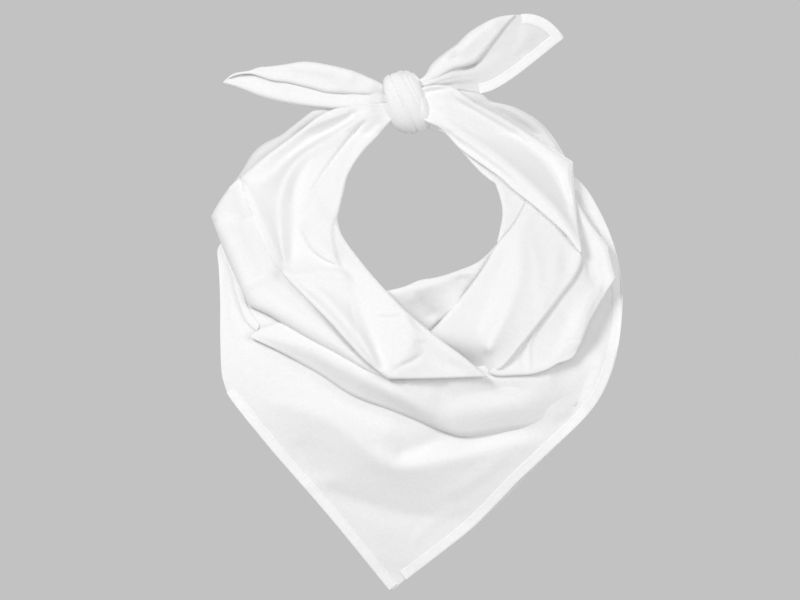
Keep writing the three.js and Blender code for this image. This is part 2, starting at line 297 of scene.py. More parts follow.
def rolled(points, side, radius, width):
    """Turns one side of a grid of points back on itself: round a fold, then flat behind."""
    sideways = side in ("left", "right")
    backwards = side in ("top", "left")
    rows = points.transpose(1, 0, 2) if sideways else points
    rows = (rows[::-1] if backwards else rows).copy()
    flat = rows.copy()
    steps = np.linalg.norm(np.diff(rows, axis=0), axis=2)
    inward = np.concatenate([np.cumsum(steps[::-1], axis=0)[::-1], np.zeros((1, rows.shape[1]))])
    near = np.clip(radius - inward, 0, radius)
    rows[..., 1] += radius - np.sqrt(radius ** 2 - near ** 2)
    outward = rows[-1] - rows[-4]
    outward[:, 1] = 0
    outward /= np.linalg.norm(outward, axis=1, keepdims=True) + 1e-9
    back = []
    for angle in np.radians([30, 60, 90]):
        row = rows[-1] - outward * radius * (1 - math.cos(angle))
        row[:, 1] += radius * math.sin(angle)
        back.append(row)
    mean_inward = inward.mean(axis=1)
    for k in range(len(rows) - 2, 0, -1):
        if mean_inward[k] > width:
            break
        if mean_inward[k] > radius * 1.1:
            row = flat[k].copy()
            row[:, 1] += 2 * radius
            back.append(row)
    rows = np.concatenate([rows, np.array(back)])
    rows = rows[::-1] if backwards else rows
    return rows.transpose(1, 0, 2) if sideways else rows


def grid_normals(points):
    along = np.gradient(points, axis=1)
    down = np.gradient(points, axis=0)
    normal = np.cross(along, down)
    return normal / (np.linalg.norm(normal, axis=2, keepdims=True) + 1e-9)


def new_object(name, vertices, faces, slot):
    mesh = bpy.data.meshes.new(name)
    mesh.from_pydata([tuple(v) for v in np.asarray(vertices) * MM], [], [tuple(f) for f in faces])
    mesh.validate()
    mesh.shade_smooth()
    obj = bpy.data.objects.new(name, mesh)
    bpy.context.scene.collection.objects.link(obj)
    obj.data.materials.append(MATERIALS[slot])
    return obj


def shell_faces(rows, cols):
    """Faces of a thin closed shell over a grid: front, back and the rim between them."""
    index = np.arange(rows * cols).reshape(rows, cols)
    a, b, c, d = index[:-1, :-1], index[1:, :-1], index[1:, 1:], index[:-1, 1:]
    front = np.stack([a, b, c, d], axis=-1).reshape(-1, 4)
    back = front[:, ::-1] + rows * cols
    rim = np.concatenate([index[0, :], index[1:, -1], index[-1, -2::-1], index[-2:0:-1, 0]])
    after = np.roll(rim, -1)
    edge = np.stack([rim, after, after + rows * cols, rim + rows * cols], axis=-1)
    return np.concatenate([front, back, edge])


def shell(name, points, slot, thickness=CLOTH):
    """A cloth of even thickness over a grid of points."""
    normal = grid_normals(points)
    if normal[..., 1].mean() > 0:
        normal = -normal
    front = points + normal * thickness / 2
    back = points - normal * thickness / 2
    vertices = np.concatenate([front.reshape(-1, 3), back.reshape(-1, 3)])
    obj = new_object(name, vertices, shell_faces(*points.shape[:2]), slot)
    fix_normals(obj)
    return obj


def fix_normals(obj):
    work = bmesh.new()
    work.from_mesh(obj.data)
    bmesh.ops.recalc_face_normals(work, faces=work.faces)
    work.to_mesh(obj.data)
    work.free()


def patch_area(points):
    along = np.diff(points, axis=1)[:-1]
    down = np.diff(points, axis=0)[:, :-1]
    return np.linalg.norm(np.cross(along, down), axis=2).sum()


SHEETS = []          # each sheet: its object, flat width, flat length and how it is held
SEWN_ON = {}         # the hems and stitching on each lap
SURFACES = {}        # each lap's and each hem's grid of points, before its edges are turned
SEED_STEP = 3.7      # from one lap's unevenness to the next lap's
SHORTEST = 20        # least length that a sheet is given
EDGE_POINTS = 60     # points on an edge when its length is measured


def cloth(name, top, bottom, left=None, right=None, lift=0.0, folds=(), lines=(), rolls=(),
          depth=body_depth, slot="cotton", reach=20, soften=2, uneven=0.5, sink=None, deep=None):
    """One lap of the cloth. Sides that aren't given are straight.

    Each of the folds is a line that the cloth is drawn to: its points are x, z and the height
    there. sink(x, z) lowers the lap where it runs in under another one. deep is the greatest distance
    from top to bottom, for a lap whose two sides come to points: its relief is worked out on a
    square grid, because its own grid is too skewed for it.
    """
    left = path([top[0], bottom[0]]) if left is None else left
    right = path([top[-1], bottom[-1]]) if right is None else right
    x, z = patch_grid(top, bottom, left, right, deep)
    relief = square_relief if deep else drawn_relief
    tracks = [evenly(points, FOLD_SPACING) for points in folds]
    height = relief(x, z, tracks, reach, soften)
    for add in lines:
        height = height + add(x, z)
    height = height + crumple(x, z, uneven, len(SHEETS) * SEED_STEP)
    if sink is not None:
        height = height - sink(x, z)
    points = np.stack([x, depth(x, z) - lift - height, z], axis=-1)
    SURFACES[name] = points
    length = sum(lengths(resample(edge, EDGE_POINTS))[-1] for edge in (top, bottom)) / 2
    for side, radius, width in rolls:
        points = rolled(points, side, radius, width)
    obj = shell(name, points, slot)
    length = max(length, SHORTEST)
    SHEETS.append((obj, patch_area(points) / length, length, "draped"))
    return obj


def surface_tree(name):
    points = SURFACES[name]
    rows, cols = points.shape[:2]
    index = np.arange(rows * cols).reshape(rows, cols)
    quads = np.stack([index[:-1, :-1], index[1:, :-1], index[1:, 1:], index[:-1, 1:]], axis=-1)
    return BVHTree.FromPolygons([tuple(p) for p in points.reshape(-1, 3)],
                                [tuple(int(i) for i in q) for q in quads.reshape(-1, 4)])


# ---- hems and stitching ----

# how far in from the lap's edge, and how high above the lap
HEM_PROFILE = ((-0.4, 0.1), (-0.2, 0.35), (0.5, 0.45), (2.0, 0.42), (4.4, 0.32), (6.4, 0.22),
               (7.6, 0.14), (8.4, 0.07), (9.2, 0.0))
HEM_THICKNESS = 0.35
HEM_SPACING = 1.6    # between points along a hem
HEM_END = 5          # length over which each end of a hem gets lower
HEM_END_SHARE = 0.2  # height that is left at its very end
PUCKER = 0.38
PUCKER_LENGTH = 5.5
PUCKER_WIDTH = 9
EVENING = 5          # points over which a hem's depth is averaged
IN_FRONT = -400      # a depth in front of the whole sling

# place along a stitch, radius of the thread there, and its rise
STITCH_STATIONS = ((0.0, 0.07, -0.12), (0.2, 0.13, 0.0), (0.5, 0.15, 0.04), (0.8, 0.13, 0.0),
                   (1.0, 0.07, -0.12))
STITCH_SIDES = 6
STITCH_LIFT = 0.18   # from the hem's surface to the thread's middle
STITCH_POINTS = 4    # points on the row for one stitch and its gap
STITCH_TRACK = 0.75  # where the row runs between two lines of the hem's profile


def hem(name, edge, inward, under, front=1, seed=0.0):
    """A turned hem along an edge of a lap, slightly puckered by its stitching.

    It lies to the right of the edge's direction where inward is 1, to its left where it is -1, and
    on the back of the lap where front is -1.
    """
    edge = resample(edge, max(8, int(lengths(edge)[-1] / HEM_SPACING)))
    tangent = np.gradient(edge, axis=0)
    tangent /= np.linalg.norm(tangent, axis=1, keepdims=True)
    normal = np.stack([tangent[:, 1], -tangent[:, 0]], axis=1) * inward
    tree = surface_tree(under)
    along = lengths(edge)
    rows = []
    for inset, raised in HEM_PROFILE:
        row = []
        for i, (point, away) in enumerate(zip(edge, normal)):
            x, z = point + away * inset
            hit = tree.ray_cast(Vector((x, IN_FRONT, z)), Vector((0, 1, 0)))[0]
            y = hit.y if hit else tree.find_nearest(Vector((x, body_depth(x, z), z)))[0].y
            pucker = noise.noise(Vector((along[i] / PUCKER_LENGTH, inset / PUCKER_WIDTH, seed))) * PUCKER
            taper = min(1.0, along[i] / HEM_END, (along[-1] - along[i]) / HEM_END)
            ends = HEM_END_SHARE + (1 - HEM_END_SHARE) * taper
            swell = (raised + pucker * min(1.0, raised)) * ends
            row.append((x, y - front * (CLOTH / 2 + swell), z))
        rows.append(row)
    points = np.array(rows)
    for row in points:
        padded = np.pad(row[:, 1], EVENING // 2, mode="edge")
        row[:, 1] = np.convolve(padded, np.ones(EVENING) / EVENING, "valid")
    obj = shell(name, points, "hem_cotton", HEM_THICKNESS)
    SEWN_ON.setdefault(under, []).append(obj)
    SURFACES[name] = points
    return obj


def stitching(name, on, under):
    """A row of lockstitches near the inner edge of a hem."""
    points = SURFACES[on]
    track = (1 - STITCH_TRACK) * points[5] + STITCH_TRACK * points[6]
    count = int(lengths(track)[-1] / (STITCH + STITCH_GAP))
    ends = resample(track, count * STITCH_POINTS + 1)
    vertices, faces = [], []
    for first in range(0, count * STITCH_POINTS, STITCH_POINTS):
        add_stitch(vertices, faces, ends[first], ends[first + STITCH_POINTS - 1])
    obj = new_object(name, vertices, faces, "thread")
    SEWN_ON.setdefault(under, []).append(obj)
    return obj


def add_stitch(vertices, faces, a, b):
    """One stitch: a short thread that dips into the cloth at both ends."""
    sides = STITCH_SIDES
    base = len(vertices)
    direction = (b - a) / np.linalg.norm(b - a)
    across = np.cross(direction, (0, 1, 0))
    across /= np.linalg.norm(across)
    for t, radius, rise in STITCH_STATIONS:
        centre = a + (b - a) * t - np.array((0, rise + STITCH_LIFT, 0))
        for s in range(sides):
            angle = 2 * math.pi * s / sides
            spoke = across * math.cos(angle) + np.array((0, 1, 0)) * math.sin(angle)
            vertices.append(centre + radius * spoke)
    for ring in range(len(STITCH_STATIONS) - 1):
        for s in range(sides):
            p, q = base + ring * sides + s, base + ring * sides + (s + 1) % sides
            faces.append((p, q, q + sides, p + sides))
    faces.append(tuple(base + s for s in range(sides - 1, -1, -1)))
    last = base + (len(STITCH_STATIONS) - 1) * sides
    faces.append(tuple(last + s for s in range(sides)))


# ---- materials ----


def start_material(name, roughness, sheen):
    material = bpy.data.materials.new(name)
    material.use_nodes = True
    shader = material.node_tree.nodes["Principled BSDF"]
    shader.inputs["Roughness"].default_value = roughness
    shader.inputs["Sheen Weight"].default_value = sheen
    return material, material.node_tree.nodes, material.node_tree.links, shader


def tone_and_bump(material, shade, dark, color, height, strength, distance):
    """Colours the material between dark * color and color by one output, and bumps it by another."""
    nodes, links = material.node_tree.nodes, material.node_tree.links
    shader = nodes["Principled BSDF"]
    tone = nodes.new("ShaderNodeValToRGB")
    tone.color_ramp.elements[0].color = (*[c * dark for c in color], 1)
    tone.color_ramp.elements[1].color = (*color, 1)
    links.new(shade, tone.inputs["Fac"])
    links.new(tone.outputs["Color"], shader.inputs["Base Color"])
    bump = nodes.new("ShaderNodeBump")
    bump.inputs["Strength"].default_value = strength
    bump.inputs["Distance"].default_value = distance
    links.new(height, bump.inputs["Height"])
    links.new(bump.outputs["Normal"], shader.inputs["Normal"])
    return tone


def cotton(name, color, weave=0.3):
    """Plain-weave cotton: crossing threads, uneven slubs and a faint change of tone."""
    material, nodes, links, shader = start_material(name, roughness=0.82, sheen=0.25)
    shader.inputs["Sheen Roughness"].default_value = 0.5
    shader.inputs["Specular IOR Level"].default_value = 0.25

    place = nodes.new("ShaderNodeTexCoord")
    turn = nodes.new("ShaderNodeMapping")
    turn.inputs["Rotation"].default_value = (0, math.radians(48), 0)
    links.new(place.outputs["Object"], turn.inputs["Vector"])

    def threads(direction):
        wave = nodes.new("ShaderNodeTexWave")
        wave.bands_direction = direction
        wave.inputs["Scale"].default_value = 380
        wave.inputs["Distortion"].default_value = 1.5
        wave.inputs["Detail Scale"].default_value = 2.0
        links.new(turn.outputs["Vector"], wave.inputs["Vector"])
        return wave

    def slubs(stretch):
        squeeze = nodes.new("ShaderNodeMapping")
        squeeze.inputs["Scale"].default_value = stretch
        links.new(turn.outputs["Vector"], squeeze.inputs["Vector"])
        texture = nodes.new("ShaderNodeTexNoise")
        texture.inputs["Scale"].default_value = 1.0
        texture.inputs["Detail"].default_value = 3.0
        links.new(squeeze.outputs["Vector"], texture.inputs["Vector"])
        return texture

    def mix(kind, a, b):
        node = nodes.new("ShaderNodeMath")
        node.operation = kind
        links.new(a, node.inputs[0])
        if isinstance(b, float):
            node.inputs[1].default_value = b
        else:
            links.new(b, node.inputs[1])
        return node.outputs[0]

    warp, weft = threads("X"), threads("Z")
    along, across = slubs((160, 900, 900)), slubs((900, 900, 160))
    woven = mix("MAXIMUM", warp.outputs["Fac"], weft.outputs["Fac"])
    uneven = mix("MULTIPLY", mix("ADD", along.outputs["Fac"], across.outputs["Fac"]), 0.5)
    relief = mix("ADD", mix("MULTIPLY", woven, weave), mix("MULTIPLY", uneven, 0.7))
    tone = tone_and_bump(material, uneven, 0.95, color, relief, strength=0.35, distance=0.0003)
    tone.color_ramp.elements[0].position = 0.38
    tone.color_ramp.elements[1].position = 0.62
    return material


def sewing_thread(name, color):
    """Twisted thread with a slight sheen."""
    material, nodes, links, _ = start_material(name, roughness=0.5, sheen=0.2)
    place = nodes.new("ShaderNodeTexCoord")
    twist = nodes.new("ShaderNodeTexWave")
    twist.bands_direction = "DIAGONAL"
    twist.inputs["Scale"].default_value = 700
    links.new(place.outputs["Object"], twist.inputs["Vector"])
    wave = twist.outputs["Fac"]
    tone_and_bump(material, wave, 0.94, color, wave, strength=0.3, distance=0.0002)
    return material


MATERIALS = {
    "cotton": cotton("white_cotton", (0.88, 0.88, 0.882)),
    # cotton_shade is the same white cotton made darker: painted shade for the laps that lie in shade,
    # namely the band backs, the inner side of the tied end and the knot's core
    "cotton_shade": cotton("white_cotton_painted_shade", (0.81, 0.81, 0.814)),
    "hem_cotton": cotton("hem_cotton", (0.95, 0.95, 0.952), weave=0.4),
    "thread": sewing_thread("white_thread", (0.86, 0.86, 0.86)),
}

# ---- edges that several laps share ----

LEFT_HEM = [(-169, -247), (-163, -256), (-130, -297), (-70, -367), (-16, -434)]
REAR_HEM = [(145, -292), (129, -307.5), (107, -330.5), (85, -352.5), (57, -379), (28, -401), (4, -418)]
NECK_LEFT = path([(-6, 16), (-15, 12), (-28, -3), (-40, -16), (-49, -28), (-57, -43), (-61, -60),
                  (-66.5, -84)],
                 [(-66.5, -84), (-62, -99), (-45, -123), (-22, -150), (0, -172), (29, -196), (53, -214),
                  (66, -225), (75, -232)])
DRAPE_OUTER = path([(-8, 31), (-28, 29), (-50, 27), (-70, 23.5), (-84, 17), (-100, 5), (-120, -10),
                    (-140, -25), (-160, -43)],
                   [(-160, -43), (-157, -62), (-150, -82), (-141, -100), (-130, -118), (-121, -131),
                    (-116, -137)],
                   [(-116, -137), (-95, -158), (-75, -178), (-56, -199), (-40, -216), (-18, -234)])
PANEL_LEFT = path([(-174, -103), (-180, -112), (-178.5, -130), (-176.5, -160), (-175.5, -200),
                   (-173.5, -232), (-169, -247)],
                  LEFT_HEM)
PANEL_RIGHT = path([(159.5, -42), (170, -52), (183, -74), (194, -100), (201, -128), (203.5, -155),
                    (202, -180), (198, -205), (191, -229), (179, -254), (163, -274), (141, -295)],
                   [(141, -295), (124, -311), (104, -330), (84, -351), (60, -375), (34, -396), (2, -421)],
                   [(2, -421), (-13, -434)])


def layer(number):
    return number * LAYER


def into_knot(deep, reach=46):
    """Lowers the end of a lap that runs in under the knot."""
    def sink(x, z):
        away = np.hypot(x - KNOT_CENTRE[0], z - KNOT_CENTRE[2])
        near = np.clip((reach - away) / (reach - KNOT_HALF), 0, 1)
        return deep * near * near * (3 - 2 * near)
    return sink


# ---- chest panels ----


def front_panel():
    top = path([(-173.5, -103), (-164, -130), (-142, -156), (-110, -182), (-60, -208), (20, -222),
                (95, -218), (136, -195), (152, -160), (156, -100), (159, -42.5)])
    folds = [
        [(-178, -120, 2), (-175, -160, 3), (-172, -200, 3), (-166, -245, 1.5)],
        [(-171, -137, -1), (-165, -160, -2), (-160, -180, -2), (-150, -196, -2)],
        [(-150, -160, 2), (-138, -176, 2), (-124, -186, 2)],
        [(-145, -203, -1), (-110, -222, -4), (-83, -238, -5), (-50, -258, -5), (-16, -270, -4.5),
             (15, -281, -4.5), (33, -286, -4.5), (60, -291, -4), (88, -285, -3.5), (120, -279, -2),
         (150, -266, 0)],
        [(33, -286, -5), (22, -293, -6), (8, -299, -6), (-6, -304, -3)],
        [(-20, -286, 1), (-30, -296, 3)],
        [(-120, -258, 3), (-83, -268, 5), (-52, -288, 6), (-30, -306, 6.5), (-10, -316, 6.5),
         (16, -315, 6), (60, -306, 5), (110, -295, 3)],
        [(-90, -333, -1), (-70, -341, -4), (-45, -350, -6), (-15, -359, -6), (20, -365, -5),
         (50, -362, -3)],
        [(-100, -300, -2), (-92, -318, -3), (-70, -330, -1)],
        [(-36, -404, -2), (-12, -418, -4), (10, -404, -2)],
        [(196, -150, -11), (190, -170, -11), (180, -192, -9), (172, -206, -5)],
        [(176, -90, -3), (188, -120, -5), (196, -150, -11)],
        [(172, -225, -0.5), (166, -245, -1.5), (158, -262, -2), (140, -276, -2)],
        [(183, -215, 3), (176, -238, 3), (166, -256, 2)],
        [(130, -235, 3), (100, -255, 4), (60, -262, 4)],
    ]
    lines = [crease(0.7, 6, (0, -400), (20, -372), (60, -352)),
             crease(0.9, 8, (100, -300), (60, -330), (30, -345))]
    outer = np.concatenate([PANEL_LEFT, PANEL_RIGHT[::-1]])
    return cloth("front_cloth", top, outer, deep=190, lift=layer(1), folds=folds, lines=lines,
                 reach=45, soften=6, uneven=0.7)


def rear_panel():
    top = path([(-172, -122), (-120, -150), (-60, -150), (-22, -152), (-4, -148.5), (12, -142),
                (27, -139.5), (45, -134), (68, -124), (85, -108)])
    left = path([(-172, -122), (-172, -165), (-170, -215), (-166, -248)],
                [(-166, -248), (-128, -297), (-70, -364), (-10, -431)])
    right = path([(85, -108), (150, -170), (162, -230), (155, -275), (145, -292)], REAR_HEM)
    folds = [
        [(34, -186, -21), (43, -198, -20), (53, -210, -17), (62, -220, -14)],
        [(4, -186, -16), (16, -200, -20), (32, -214, -18)],
        [(4, -157, 3), (13, -165, -7), (23, -175, -16)],
        [(50, -140, 0), (62, -152, -6), (60, -170, -9)],
        [(-15, -153, 5), (10, -148, 6), (28, -143, 7), (60, -130, 4), (84, -109, 4)],
        [(-120, -200, -3), (-60, -240, -5), (10, -260, -5), (80, -240, -4)],
        [(-100, -290, -1), (-30, -330, 1), (60, -320, 0)],
        [(-60, -260, -1), (-20, -300, 0), (-10, -400, 0)],
        [(-166, -250, 5), (-128, -296, 5), (-70, -363, 5), (-14, -425, 5)],
        [(150, -280, 7), (129, -308, 8), (107, -331, 8), (57, -380, 8), (10, -414, 7)],
    ]
    return cloth("rear_cloth", top, path([(-10, -431), (4, -418)]), left, right, lift=-7,
                 folds=folds, rolls=[("top", 1.2, 10)], reach=22, soften=5)


def lower_swag():
    top = path([(-147, -194), (-137, -187), (-122, -181)],
               [(-122, -181), (-90, -190), (-50, -212), (-15, -226), (40, -227), (75, -226), (100, -225),
                (116, -224), (130, -220), (142, -214), (158, -211), (180, -214)])
    bottom = path([(-147, -195.5), (-120, -208.5), (-83, -229), (-50, -250), (-16, -263), (10, -273),
                   (33, -283)],
                  [(33, -283), (50, -288), (70, -287), (95, -283), (120, -279), (150, -268), (178, -236)])
    folds = [
        [(-143, -192, 1), (-100, -203, 3.5), (-60, -222, 4.5), (-26, -240, 5.5), (5, -256, 6),
         (22, -268, 5)],
        [(-147, -195, 1), (-136, -199.5, 0), (-120, -207.5, -2.5), (-100, -218.5, -5), (-83, -228, -6),
             (-50, -249, -6.5), (-16, -262, -6.5), (10, -272, -6), (33, -282, -5)],
        [(-120, -187, 1), (-80, -200, 1), (-50, -214, 0), (-20, -228, 0)],
        [(22, -268, 5), (31, -270, 2), (45, -269, 3), (55, -262, 4)],
        [(55, -262, 4), (90, -259, 3.5), (120, -253, 1), (145, -246, -3), (170, -237, -7.5)],
        [(36, -284, -5), (46, -286, -5), (60, -286, -5), (80, -284, -6), (105, -281, -7),
         (130, -275, -7.5), (150, -265, -8)],
        [(70, -228, -3), (100, -227, -3), (116, -226, -3), (130, -222, -4), (142, -216, -5.5),
         (166, -214, -8)],
        [(30, -252, 1), (45, -249, -2), (90, -243, -3), (115, -238, -2), (135, -232, -1)],
        [(40, -239, 3), (75, -237, 2.5), (110, -236, 2), (132, -231, 0)],
    ]
    lines = [crease(1.6, 1.6, (-12, -234), (4, -243), (16, -256), (24, -265)),
             crease(-0.8, 5, (6, -236), (30, -240), (40, -250))]
    return cloth("lower_swag_cloth", top, bottom, lift=layer(2.4),
                 folds=folds, lines=lines, rolls=[("bottom", 0.8, 5)], reach=22)


def left_side_fold():
    top = path([(-172, -112), (-166, -126), (-157, -146), (-150, -166), (-138, -184)])
    bottom = path([(-173, -116), (-166, -139), (-160, -160), (-152, -180), (-141, -191)])
    folds = [[(-171, -114, 0), (-164, -134, 1.5), (-156, -160, 1.5), (-143, -185, 0)]]
    return cloth("left_side_fold_cloth", top, bottom, lift=layer(1.5), folds=folds,
                 rolls=[("bottom", 0.8, 4)], reach=15)


def left_swag():
    top = path([(-160, -42), (-146, -70), (-132, -100), (-112, -134), (-60, -190), (-14, -231)])
    bottom = path([(-170, -52), (-179, -66), (-187, -81)],
                  [(-187, -81), (-181, -96), (-171, -120), (-160, -143), (-149, -166)],
                  [(-149, -166), (-132, -173.5), (-110, -186), (-84, -201), (-60, -214), (-34, -228),
                   (-18, -234)])
    folds = [
        [(-187, -81, 3), (-178, -79, 6), (-164, -77, 5), (-152, -80, 1)],
        [(-183, -90, 4), (-175, -105, 8), (-165, -127, 9), (-152, -150, 8), (-128, -164, 6),
             (-96, -181, 5), (-64, -202, 4), (-36, -223, 1)],
        [(-170, -60, 3), (-167, -82, 9), (-162, -101, 11), (-153, -122, 10), (-139, -142, 7),
         (-117, -160, 5), (-92, -177, 4), (-64, -198, 3), (-38, -220, 0)],
        [(-162, -46, -4), (-154, -66, -12), (-148, -84, -15), (-140, -102, -16), (-130, -121, -14),
             (-110, -145, -8), (-84, -175, -5), (-56, -201, -4), (-28, -226, -1)],
        [(-186, -84, 1), (-181, -97, -1), (-171, -121, -2), (-160, -144, -2), (-149, -167, -2),
         (-132, -175, -2), (-110, -187, -2), (-84, -202, -2), (-60, -215, -2), (-34, -229, -1)],
    ]
    lines = [crease(1.4, 1.8, (-187, -81), (-176, -79), (-166, -78)),
             crease(0.8, 2.5, (-146, -167), (-130, -170), (-112, -180))]
    return cloth("left_swag_cloth", top, bottom, lift=layer(4), folds=folds, lines=lines,
                 rolls=[("bottom", 1.6, 14)], reach=24)


def left_drape():
    folds = [
        [(-40, 16, 3), (-66, -4, 8), (-90, -16, 12), (-104, -26, 12), (-114, -40, 12), (-120, -58, 11),
             (-122, -78, 10), (-120, -100, 10), (-118, -120, 9), (-115.5, -136, 7)],
        [(-52, 17, -2), (-76, 4, -5), (-100, -12, -7), (-122, -30, -7), (-138, -48, -6)],
        [(-60, 20, 2), (-90, 9, 4), (-116, -8, 4), (-140, -28, 3), (-156, -42, 0)],
        [(-157, -50, -6), (-148, -66, -10), (-140, -84, -12), (-132, -100, -11), (-124, -115, -7),
         (-118, -127, -1)],
        [(-160, -49, -9), (-157, -62, -14), (-150, -82, -17), (-141, -100, -17), (-130, -118, -15),
         (-123, -128, -11)],
        [(-92, -30, 6), (-102, -46, 2), (-106, -64, -1), (-106, -84, -2), (-107, -104, -2),
         (-109, -122, -1), (-109, -132, 3)],
        [(-90, -60, 3), (-84, -76, 5), (-86, -96, 4), (-76, -116, 5)],
        [(-115, -137, 7), (-95, -157, 4), (-75, -177, 4), (-56, -198, 4), (-38, -215, 4), (-18, -233, 4)],
        [(-112, -138, 7), (-94, -137, 9), (-78, -135, 7), (-60, -138, 5)],
        [(-97, -145, 7), (-78, -158, 8), (-60, -178, 8), (-42, -200, 7), (-24, -226, 6)],
        [(-50, -138, 0), (-45, -160, -2), (-36, -185, -3), (-28, -208, -4), (-24, -224, -2)],
        [(-8, -160, 2), (1, -178, 7), (4, -198, 8), (-5, -218, 8), (-16, -231, 7)],
        [(14, -202, 3), (24, -215, 1), (44, -224, 1)],
        [(-66, -90, 1), (-60, -104, 0), (-44, -125, 0), (-24, -149, 1)],
        [(0, -174, 3), (28, -198, 3), (52, -215, 4), (70, -229, 4)],
    ]
    lines = [
        crease(-3, 2, (-36, 14), (-46, 5), (-60, -12), (-75, -33), (-88, -54), (-98, -70), (-104, -79)),
        lip(3.6, 20, (-104, -88), (-96, -103), (-86, -117), (-75, -124), (-63, -129)),
        lip(3, 16, (-60, -134), (-65, -122), (-69, -106), (-70, -92), (-66, -78)),
        crease(-1.6, 2, (-30, -176), (-18, -177.5), (-4, -174)),
        crease(-1, 1.8, (-24, -160), (-12, -163), (2, -173)),
        crease(-2, 2.2, (-18, -232), (-6, -222), (6, -217), (16, -208)),
        crease(-1, 2, (-54, -160), (-50, -182), (-45, -206)),
        crease(1.6, 3, (-35, 20), (-62, 2), (-90, -14)),
        crease(0.9, 2.2, (-24, 8), (-38, -8), (-50, -26)),
        crease(-0.9, 2.5, (-26, 22), (-52, 12), (-80, 2)),
        crease(-0.7, 3, (-21, 15), (-44, -6), (-60, -34), (-66, -62)),
    ]
    return cloth("left_drape_cloth", DRAPE_OUTER, NECK_LEFT, left=path([(-8, 30), (-6, 16)]),
                 right=path([(-18, -234), (28, -233.5), (75, -232)]), lift=layer(4.8), folds=folds,
                 lines=lines, rolls=[("top", 1.4, 10), ("bottom", 1.6, 14), ("right", 1.2, 8)],
                 sink=into_knot(9, 40))


def left_band_back():
    top = path([(-8, 30), (-40, 27), (-60, 26), (-88, 22.5), (-105, 11), (-121, -1), (-140, -11),
                (-150, -21), (-158, -35), (-168, -50)])
    bottom = path([(-8, 16), (-30, 10), (-60, 4), (-95, -12), (-120, -34), (-140, -52), (-156, -66)])
    folds = [[(-60, 20, 3), (-95, 10, 4), (-122, -8, 4), (-146, -24, 3)],
             [(-50, 12, -3), (-90, -2, -4), (-120, -20, -4), (-150, -44, -3)]]
    return cloth("left_band_back_cloth", top, bottom, lift=layer(1), folds=folds, slot="cotton_shade",
                 rolls=[("top", 2.5, 30)], reach=18, soften=3)


# ---- right side ----


def right_band_back():
    top = path([(14, 40), (44, 41), (60, 40), (72, 37), (80, 31), (90, 28.5), (102, 25.5), (119, 17),
                (131, 8), (143, -7), (152, -23), (160, -40)])
    bottom = path([(12, 22), (40, 20), (70, 8), (100, -10), (125, -30), (145, -60)])
    folds = [[(66, 36, 2), (92, 24, 3), (120, 11, 4), (142, -12, 3)],
             [(60, 26, -1), (92, 14, -2), (116, -2, -2), (140, -24, -1)]]
    lines = [crease(-1.8, 1.8, (70, 33), (92, 21), (112, 8), (128, -6))]
    return cloth("right_band_back_cloth", top, bottom, lift=layer(1.5), folds=folds, lines=lines,
                 slot="cotton_shade", rolls=[("top", 2.2, 26)], reach=16)


def right_band():
    top = path([(6, 40), (20, 45), (34, 45.5), (45, 43), (68, 27), (88, 17), (117, 0), (135, -12),
                (148, -21), (159, -28)])
    bottom = path([(6, 19), (20, 10), (30, 5.5), (40, -4), (50, -15), (70, -30), (88, -43), (102, -56),
                   (117, -68), (131, -80), (150, -98), (164.5, -117)])
    right = path([(159, -28), (159, -45), (160.5, -70), (163, -95), (165.5, -114), (164.5, -117)])
    folds = [
        [(24, 18, 2), (45, 3, 7), (75, -16, 9), (100, -36, 10), (122, -56, 9), (144, -80, 8),
         (162, -110, 5)],
        [(30, 38, 0), (60, 24, -1), (90, 6, -2), (120, -16, -3), (143, -42, -4), (154, -66, -2)],
        [(50, 34, 3), (74, 20, 3), (100, 6, 3), (130, -12, 2), (152, -27, 2)],
        [(155, -30, 2), (156, -50, 3), (158, -75, 4)],
        [(46, -10, 1), (70, -28, 1), (88, -42, 2), (116, -67, 3), (140, -88, 3.5), (160, -112, 4)],
    ]
    lines = [
        crease(-2.5, 2.2, (14, 38), (24, 40), (44, 43.5)),
        crease(0.7, 3, (22, 30), (50, 22), (86, 6)),
        crease(-0.9, 3, (22, 24), (44, 12), (70, -4)),
        crease(0.8, 2.5, (24, 12), (48, -3), (80, -26), (104, -47)),
        crease(0.9, 1.4, (154, -28), (153.5, -40), (154.5, -56)),
    ]
    return cloth("right_band_cloth", top, bottom, right=right, sink=into_knot(6, 38),
                 lift=layer(4.8), folds=folds, lines=lines,
                 rolls=[("top", 2.0, 20), ("right", 2.0, 20), ("bottom", 1.2, 10)], reach=24, soften=3)


def right_inner_strip():
    top = path([(34, 4), (60, -15), (88, -38), (117, -62)],
               [(117, -62), (114, -76), (108, -92), (102, -106), (94, -120)])
    bottom = path([(30, 3), (41, -4), (50, -15), (60, -27), (70, -38), (78, -45), (84, -49)],
                  [(84, -49), (87, -58), (90, -70), (90.5, -80), (88, -94), (85, -106)])
    folds = [[(50, -13, -1), (80, -38, -1), (98, -56, -1), (110, -66, -2)],
             [(114, -72, -3), (105, -86, -3), (96, -100, -4), (92, -116, -8)],
             [(84, -50, 1), (89, -62, 0.5), (89.5, -80, -0.5), (86, -96, -2)]]
    lines = [crease(-1.4, 1.8, (100, -52), (99, -60), (95, -70), (93, -82)),
             crease(-0.9, 2, (52, -12), (72, -30), (90, -46))]
    return cloth("right_inner_strip_cloth", top, bottom, lift=layer(3.9), folds=folds, lines=lines,
                 rolls=[("bottom", 1.2, 16)], reach=14)


